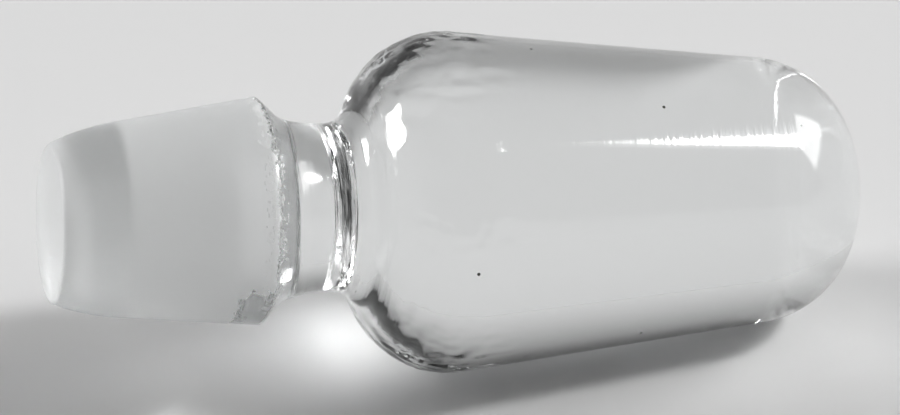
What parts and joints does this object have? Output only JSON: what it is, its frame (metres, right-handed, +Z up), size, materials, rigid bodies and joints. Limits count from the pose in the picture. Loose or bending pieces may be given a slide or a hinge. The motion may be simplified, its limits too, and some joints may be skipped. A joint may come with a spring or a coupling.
{
  "type": "glass stopper",
  "caption": "Solid clear glass stopper lying on its side: ground conical plug with a flat end, polished waist and a long, slightly tapering domed head.",
  "frame": {"origin": "on the surface that the stopper lies on, under the middle of its bounding box", "axes": "+X along the stopper's length, from the plug to the domed head; +Z up; the head's lowest line lies on z = 0 and the axis drops 6.1 degrees towards +X"},
  "size_m": [0.0996, 0.0408, 0.0408],
  "materials": {
    "clear_glass": "polished head and neck, finely ground plug cone"
  },
  "bodies": {
    "root": {"stopper": "clear_glass"}
  },
  "joints": []
}
